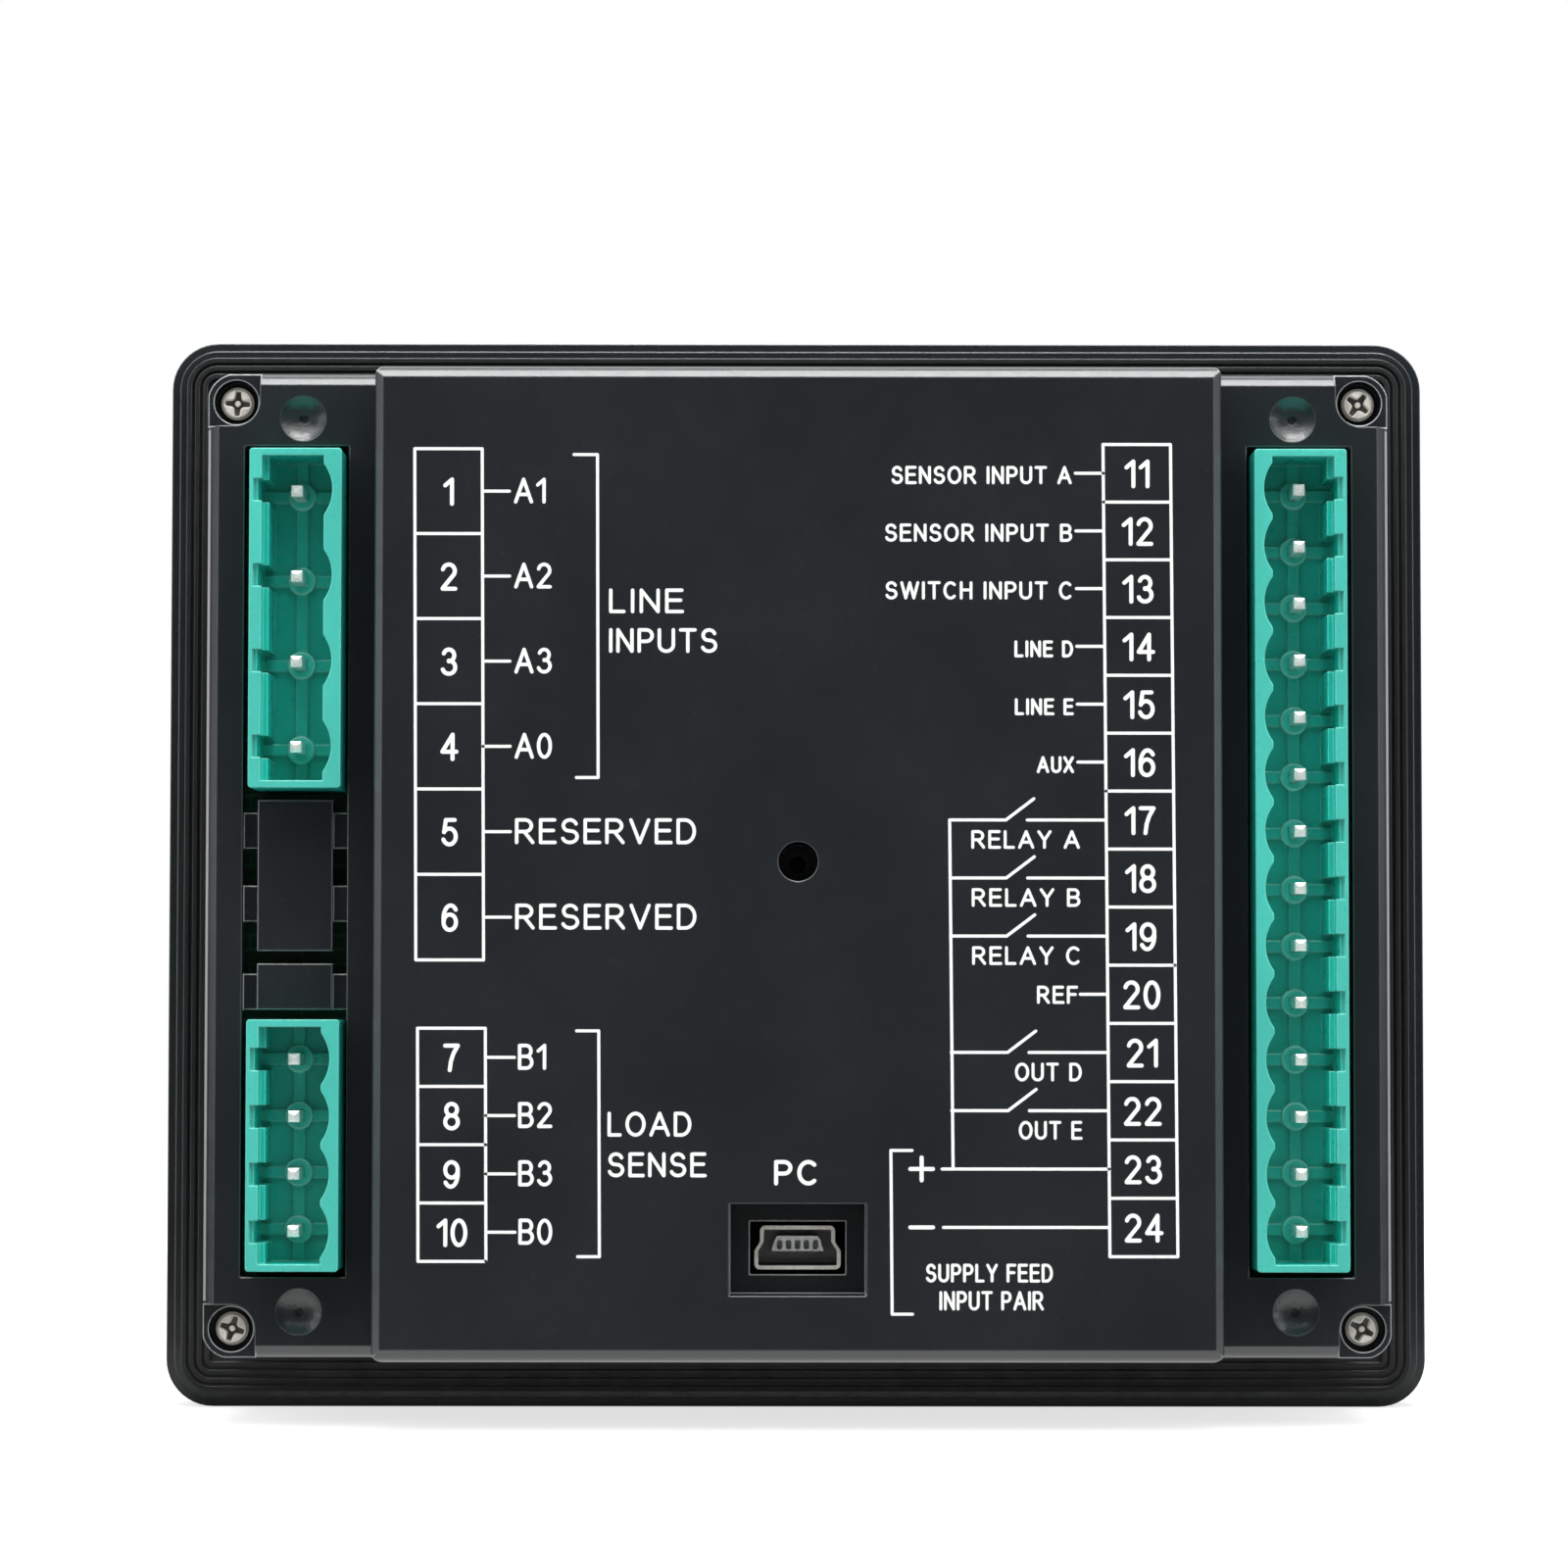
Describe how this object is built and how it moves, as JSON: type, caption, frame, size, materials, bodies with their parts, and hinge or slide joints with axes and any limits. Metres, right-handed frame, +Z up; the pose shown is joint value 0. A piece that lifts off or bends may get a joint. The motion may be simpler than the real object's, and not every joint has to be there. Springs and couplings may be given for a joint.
{
  "type": "genset controller",
  "caption": "Panel-mount genset controller: bezel with display and keys in front, moulded rear cover with pluggable terminal headers along both sides and a data socket.",
  "frame": {"origin": "middle of the plane where the gasket meets the panel", "axes": "+Y from the front face to the rear, +Z up, +X to the right as seen from the front"},
  "size_m": [0.1184, 0.0401, 0.1004],
  "materials": {
    "housing_black": "fine moulded texture",
    "overlay_film": "matt printed film",
    "lens_clear": "clear acrylic",
    "gasket_rubber": "matt",
    "screw_nickel": "bright nickel plate",
    "header_green": "satin moulded",
    "pin_tin": "bright tin plate",
    "usb_nickel": "bright nickel plate",
    "usb_grey": "moulded",
    "contact_gold": "gold plate",
    "board_green": "solder resist",
    "connector_black": "moulded",
    "lcd_metal": "black sheet metal",
    "lcd_glass": "polarised glass",
    "backlight_white": "diffuser",
    "lamp_clear": "diffused lens",
    "switch_black": "moulded",
    "relay_blue": "moulded case",
    "transformer_black": "potted case",
    "capacitor_sleeve": "sleeved can",
    "chip_black": "moulded",
    "key_red": "satin",
    "key_green": "satin",
    "key_grey": "satin",
    "plunger_grey": "moulded"
  },
  "bodies": {
    "housing": {"front_bezel": "housing_black", "front_overlay": "overlay_film", "display_window": "lens_clear", "panel_gasket": "gasket_rubber", "rear_cover": "housing_black", "corner_screws": "screw_nickel", "voltage_header": "header_green", "current_header": "header_green", "io_header": "header_green", "voltage_pins": "pin_tin", "current_pins": "pin_tin", "io_pins": "pin_tin", "usb_shell": "usb_nickel", "usb_insert": "usb_grey", "usb_contacts": "contact_gold", "terminal_board": "board_green", "display_board": "board_green", "board_link": "connector_black", "board_screws": "screw_nickel", "lcd_frame": "lcd_metal", "lcd_glass": "lcd_glass", "lcd_backlight": "backlight_white", "status_lamps": "lamp_clear", "key_switches": "switch_black", "output_relays": "relay_blue", "sensing_transformers": "transformer_black", "supply_capacitors": "capacitor_sleeve", "processor_chip": "chip_black"},
    "stop_button": {"stop_key": "key_red", "stop_plunger": "plunger_grey"},
    "manual_button": {"manual_key": "key_grey", "manual_plunger": "plunger_grey"},
    "auto_button": {"auto_key": "key_grey", "auto_plunger": "plunger_grey"},
    "start_button": {"start_key": "key_green", "start_plunger": "plunger_grey"},
    "up_button": {"up_key": "key_grey", "up_plunger": "plunger_grey"},
    "down_button": {"down_key": "key_grey", "down_plunger": "plunger_grey"}
  },
  "joints": [
    {"name": "stop_press", "type": "slide", "parent": "housing", "child": "stop_button", "axis": [0, 1, 0], "range_m": [0, 0.0005], "stiffness_N_per_m": 4000},
    {"name": "manual_press", "type": "slide", "parent": "housing", "child": "manual_button", "axis": [0, 1, 0], "range_m": [0, 0.0005], "stiffness_N_per_m": 4000},
    {"name": "auto_press", "type": "slide", "parent": "housing", "child": "auto_button", "axis": [0, 1, 0], "range_m": [0, 0.0005], "stiffness_N_per_m": 4000},
    {"name": "start_press", "type": "slide", "parent": "housing", "child": "start_button", "axis": [0, 1, 0], "range_m": [0, 0.0005], "stiffness_N_per_m": 4000},
    {"name": "up_press", "type": "slide", "parent": "housing", "child": "up_button", "axis": [0, 1, 0], "range_m": [0, 0.0005], "stiffness_N_per_m": 4000},
    {"name": "down_press", "type": "slide", "parent": "housing", "child": "down_button", "axis": [0, 1, 0], "range_m": [0, 0.0005], "stiffness_N_per_m": 4000}
  ]
}
